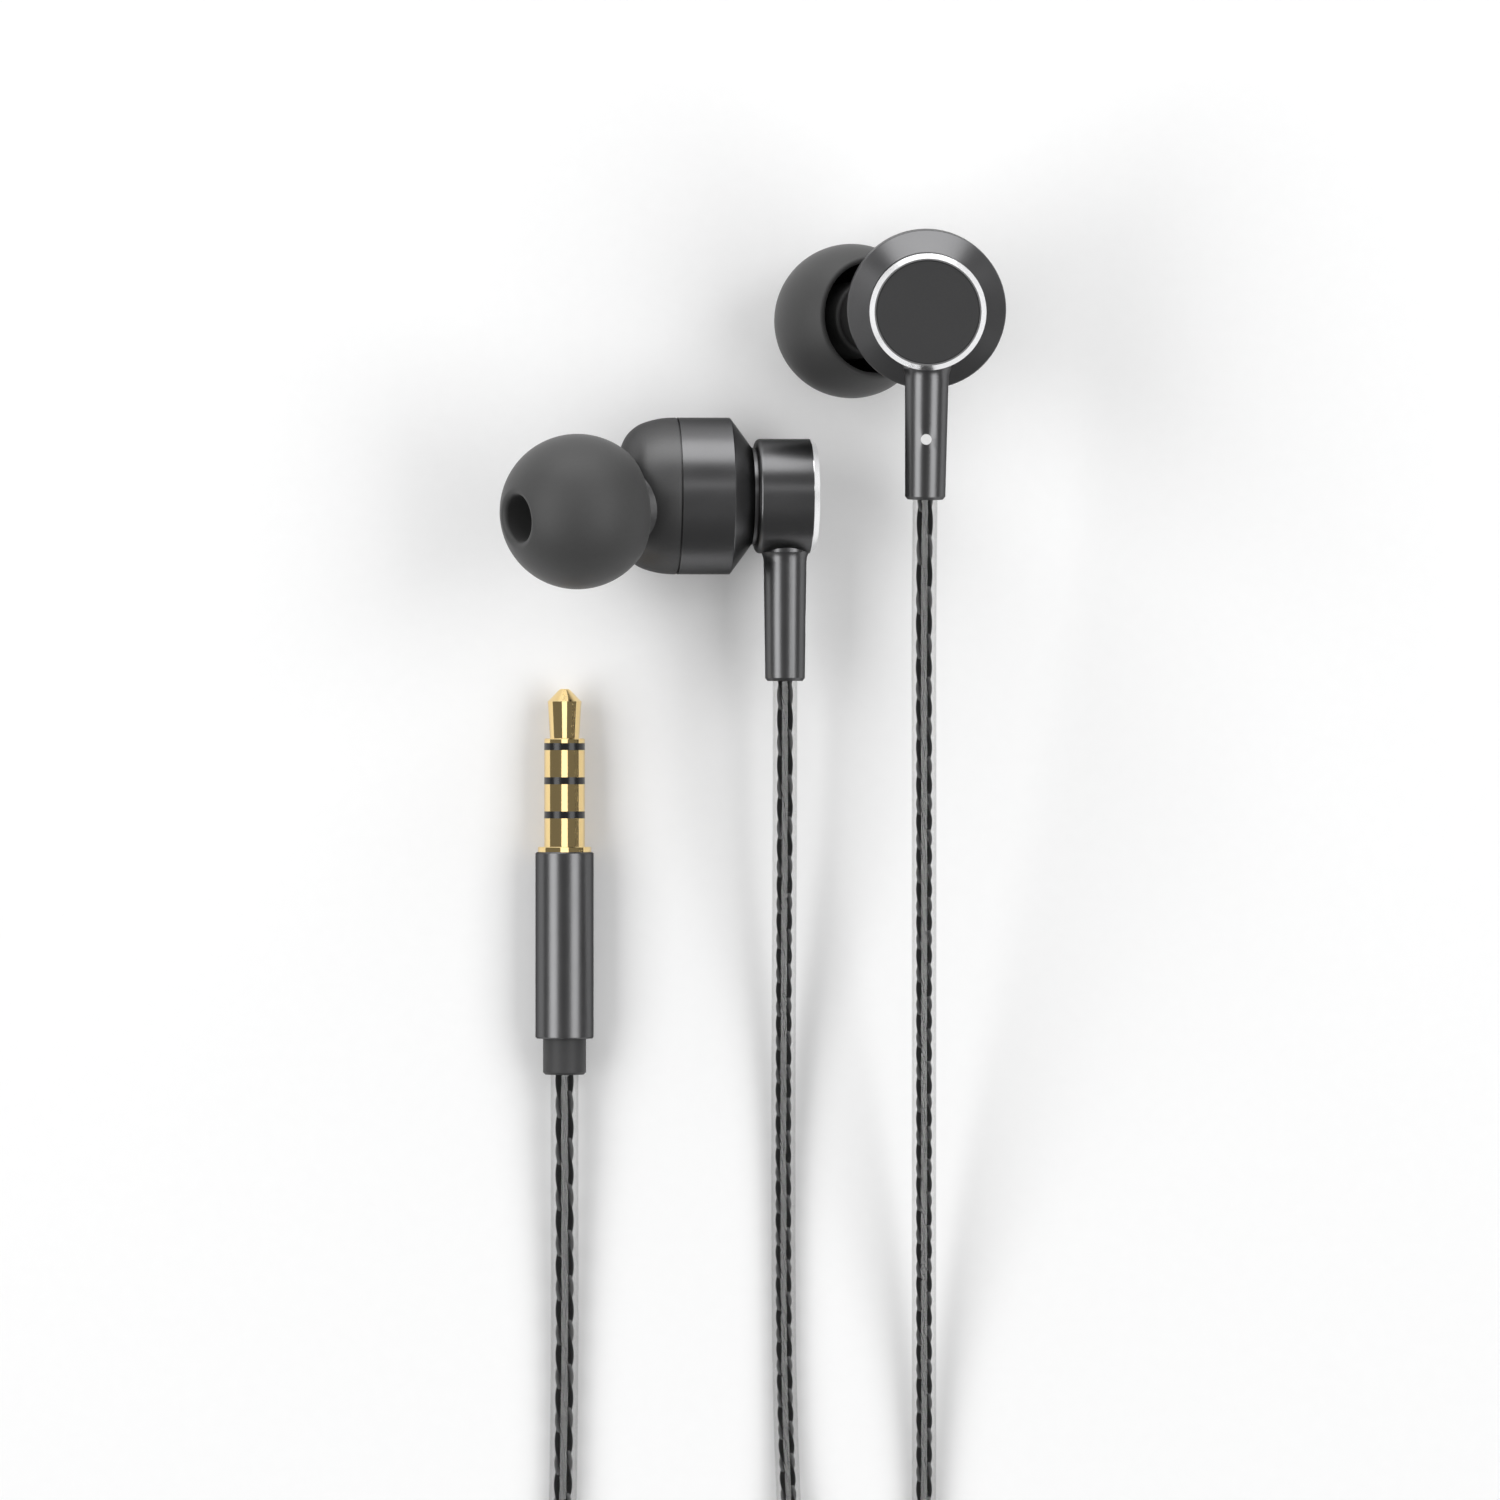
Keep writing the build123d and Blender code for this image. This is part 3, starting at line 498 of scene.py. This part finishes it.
inner_radius = CUP_RADIUS - CUP_WALL
lip_radius = SOUND_HOLE + LIP
lip_along = math.sqrt((CUP_RADIUS - LIP) ** 2 - lip_radius ** 2)
lip_angle = math.degrees(math.atan2(lip_radius, lip_along))
skirt_angle = math.degrees(math.acos(SKIRT_EDGE / CUP_RADIUS))
skirt_middle = arc((0, 0), CUP_RADIUS - CUP_WALL / 2, skirt_angle, skirt_angle, 1)[0]
sleeve_angle = math.degrees(math.asin((SLEEVE_OUTSIDE + 0.6) / inner_radius))
tip_outline = np.concatenate([
    [(BORE_TOP, SOUND_HOLE), (BORE_TOP + 0.4, SOUND_HOLE)],
    arc((lip_along, lip_radius), LIP, -90, lip_angle, 10),
    arc((0, 0), CUP_RADIUS, lip_angle + 2, skirt_angle, 70),
    arc(skirt_middle, CUP_WALL / 2, skirt_angle + 15, skirt_angle + 165, 8),
    arc((0, 0), inner_radius, skirt_angle, sleeve_angle, 50),
    [(4.2, SLEEVE_OUTSIDE + 0.15), (3.6, SLEEVE_OUTSIDE), (SLEEVE_END + 0.2, SLEEVE_OUTSIDE),
     (SLEEVE_END, SLEEVE_OUTSIDE - 0.2), (SLEEVE_END, SLEEVE_INSIDE + 0.2),
     (SLEEVE_END + 0.2, SLEEVE_INSIDE), (BORE_TOP, SLEEVE_INSIDE)],
])
silicone = finish(
    "silicone", (0.047, 0.047, 0.047), 0.55, shade=0.10, scale=2500.0, bump=0.12, Sheen_Weight=0.08,
    Sheen_Roughness=0.4,
)
NOZZLES = {}
for hand in ("left", "right"):
    axis = np.array(JOINTS[f"{hand}_eartip_pull"]["axis"])
    low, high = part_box(f"{hand}_nozzle_mesh")
    disc_middle = (np.array(low) + np.array(high)) / 2
    NOZZLES[hand] = (disc_middle, axis)
    cup_centre = disc_middle - axis * MESH_DISC_MIDDLE * MM
    tip = lathe(f"{hand}_silicone_tip", tip_outline, cup_centre, axis, silicone)
    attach(tip, f"{hand}_eartip")
    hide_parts(f"{hand}_eartip")

# ---------------------------------------------------------------------------------------------
# Nozzle screens. A disc of woven stainless wire glued into the nozzle's mouth keeps wax and dust
# out of the driver.
SCREEN_RADIUS = 2.1
SCREEN_PITCH = 0.25
SCREEN_WIRE = 0.05
SCREEN_STEPS = 70
SCREEN_SIDES = 5


def woven_screen(middle, axis):
    """Wires both ways across a disc: along each wire v runs from rim to rim at offset u, the wire
    rises and falls by its own radius as cos(pi v / pitch), and neighbours are half a wave apart."""
    across = np.cross(axis, (0.0, 1.0, 0.0))
    across /= np.linalg.norm(across)
    rows = int(SCREEN_RADIUS / SCREEN_PITCH)
    a = np.linspace(0, 2 * math.pi, SCREEN_SIDES, endpoint=False)
    grids = []
    for first, second, half in ((across, np.cross(axis, across), 0), (np.cross(axis, across), -across, 1)):
        for row in range(-rows, rows + 1):
            reach = math.sqrt(SCREEN_RADIUS ** 2 - (row * SCREEN_PITCH) ** 2)
            v = np.linspace(-reach, reach, SCREEN_STEPS)[:, None]
            rise = SCREEN_WIRE * np.cos(math.pi * (v / SCREEN_PITCH + row + half))
            line = middle + MM * (row * SCREEN_PITCH * first + v * second + rise * axis)
            spoke = np.cos(a)[:, None] * first + np.sin(a)[:, None] * axis
            grids.append(line[:, None] + SCREEN_WIRE * MM * spoke[None])
    return grids


steel_wire = finish("steel_wire", (0.45, 0.45, 0.46), 0.3, Metallic=1.0)
for hand, (middle, axis) in NOZZLES.items():
    screen = grid_piece(f"{hand}_wire_screen", woven_screen(middle, axis), steel_wire)
    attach(screen, "earphones")
    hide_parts(f"{hand}_nozzle_mesh")

# ---------------------------------------------------------------------------------------------
# Front shells. The sound chamber and its leaning nozzle, moulded in one piece of glass-filled nylon
# with a soft satin paint, pressed onto the rear shell with a fine seam between them.


def paint(material, *nodes):
    """Gives these CAD nodes this material."""
    for node in nodes:
        for slot in frame["nodes"][node].material_slots:
            slot.material = material


def pair(*parts):
    """The left and right CAD nodes of these parts."""
    return [f"{hand}_{part}" for hand in ("left", "right") for part in parts]


paint(
    finish("satin_paint", (0.115, 0.115, 0.116), 0.42, shade=0.08, scale=4000.0, bump=0.2,
           Metallic=0.85, Specular_Tint=(0.35, 0.35, 0.35, 1)),
    *pair("front_shell"),
)

# ---------------------------------------------------------------------------------------------
# Drivers. A ten millimetre moving-coil unit in each earpiece: nickelled basket, steel yoke and pole
# plate round a neodymium magnet, a copper coil on a clear film dome, glued face down on a ledge.
paint(finish("nickel_basket", (0.35, 0.35, 0.36), 0.35, Metallic=1.0), *pair("driver_basket"))
paint(finish("yoke_steel", (0.40, 0.40, 0.42), 0.32, Metallic=1.0), *pair("driver_yoke", "driver_pole_plate"))
paint(finish("magnet_plating", (0.62, 0.61, 0.58), 0.22, Metallic=1.0), *pair("driver_magnet"))
paint(finish("coil_copper", (0.72, 0.33, 0.16), 0.38, stretch=(1, 1, 6), Metallic=1.0), *pair("voice_coil"))
paint(finish("film", (0.55, 0.52, 0.46), 0.2, Coat_Weight=0.5), *pair("driver_diaphragm"))

# ---------------------------------------------------------------------------------------------
# Rear shells, cap barrels and stems. Turned aluminium, bead-blasted, anodised gunmetal and sealed
# to a satin gloss. The barrel is pressed on the neck, and the stem is pressed up into the barrel.
gunmetal = finish(
    "gunmetal_anodise", (0.150, 0.150, 0.153), 0.30, shade=0.06, spread=0.06, scale=6000.0, bump=0.12,
    depth=0.006, Metallic=1.0, Specular_Tint=(0.35, 0.35, 0.35, 1),
)
paint(gunmetal, *pair("rear_shell", "cap_housing", "stem"))

# ---------------------------------------------------------------------------------------------
# Cap rings and discs. A diamond-cut bright ring closes the barrel round a flat disc with a fine
# blasted face.
paint(
    finish("diamond_cut", (0.90, 0.90, 0.91), 0.16, shade=0.04, scale=9000.0, Metallic=1.0),
    *pair("cap_ring"),
)
paint(
    finish("blasted_face", (0.040, 0.040, 0.041), 0.5, shade=0.15, scale=7000.0, bump=0.3, Metallic=0.3),
    *pair("cap_disc"),
)

# ---------------------------------------------------------------------------------------------
# Side marks and crimps. A dot on the left stem and a bar on the right one are silk-screened in pale
# grey ink, and a brass crimp inside the stem keeps the cord from being pulled out.
paint(finish("screen_ink", (0.72, 0.72, 0.72), 0.45), *pair("side_mark"))
paint(finish("crimp_brass", (0.60, 0.45, 0.22), 0.35, Metallic=1.0), *pair("cord_crimp"))

# ---------------------------------------------------------------------------------------------
# Plug. A four-contact 3.5 mm jack, gold flash on turned brass with black insulators, in a gunmetal
# barrel like the shells and a soft moulded collar.
gold = finish("gold_flash", (0.93, 0.70, 0.33), 0.10, shade=0.03, spread=0.05, Metallic=1.0)
GOLD = ("jack_tip", "jack_ring_1", "jack_ring_2", "jack_sleeve")
paint(gold, *GOLD)
paint(finish("insulator", (0.012, 0.012, 0.013), 0.22), "jack_insulators")
paint(gunmetal, "plug_barrel")
moulding = finish("soft_moulding", (0.035, 0.035, 0.036), 0.55, shade=0.15, scale=3500.0, bump=0.3)
paint(moulding, "plug_core", "plug_collar")

# ---------------------------------------------------------------------------------------------
# Remote. Two satin black shells snapped together on the right branch, with one rubbery button over
# a metal-dome switch on a small green board, and a microphone behind a pinhole.
paint(
    finish("remote_plastic", (0.018, 0.018, 0.019), 0.42, shade=0.12, scale=3500.0, bump=0.25),
    "remote_top_shell", "remote_bottom_shell",
)
paint(finish("button_rubber", (0.040, 0.040, 0.042), 0.6, scale=3000.0, bump=0.3), "remote_button")
paint(finish("dome_steel", (0.55, 0.55, 0.56), 0.28, Metallic=1.0), "remote_switch")
paint(finish("board_lacquer", (0.02, 0.11, 0.045), 0.35, scale=1800.0), "remote_board")
paint(finish("capsule_nickel", (0.50, 0.50, 0.50), 0.3, Metallic=1.0), "remote_microphone")

# ---------------------------------------------------------------------------------------------
# Splitter. A gunmetal tube over a moulded core, where the two branches meet the main cord.
paint(gunmetal, "splitter_sleeve")
paint(moulding, "splitter_core")

# ---------------------------------------------------------------------------------------------
# Light linking. One softbox lights only the sheath, as one straight stripe, and one only the gold
# contacts. The side softboxes leave out the sheath, the strands and the gold.
gold_nodes = [frame["nodes"][name] for name in GOLD]


def light_only(lamp, objects, state="INCLUDE"):
    """Links a lamp to these objects alone, or with EXCLUDE to everything but them."""
    chosen = bpy.data.collections.new("lit_by_" + lamp.name)
    for piece in objects:
        chosen.objects.link(piece)
    lamp.light_linking.receiver_collection = chosen
    for link in chosen.collection_objects:
        link.light_linking.link_state = state


light_only(lamps["softbox_cord"], sheaths)
light_only(lamps["softbox_gold"], gold_nodes)
light_only(lamps["softbox_left"], sheaths + strands + gold_nodes, "EXCLUDE")
light_only(lamps["softbox_right"], sheaths + strands + gold_nodes, "EXCLUDE")
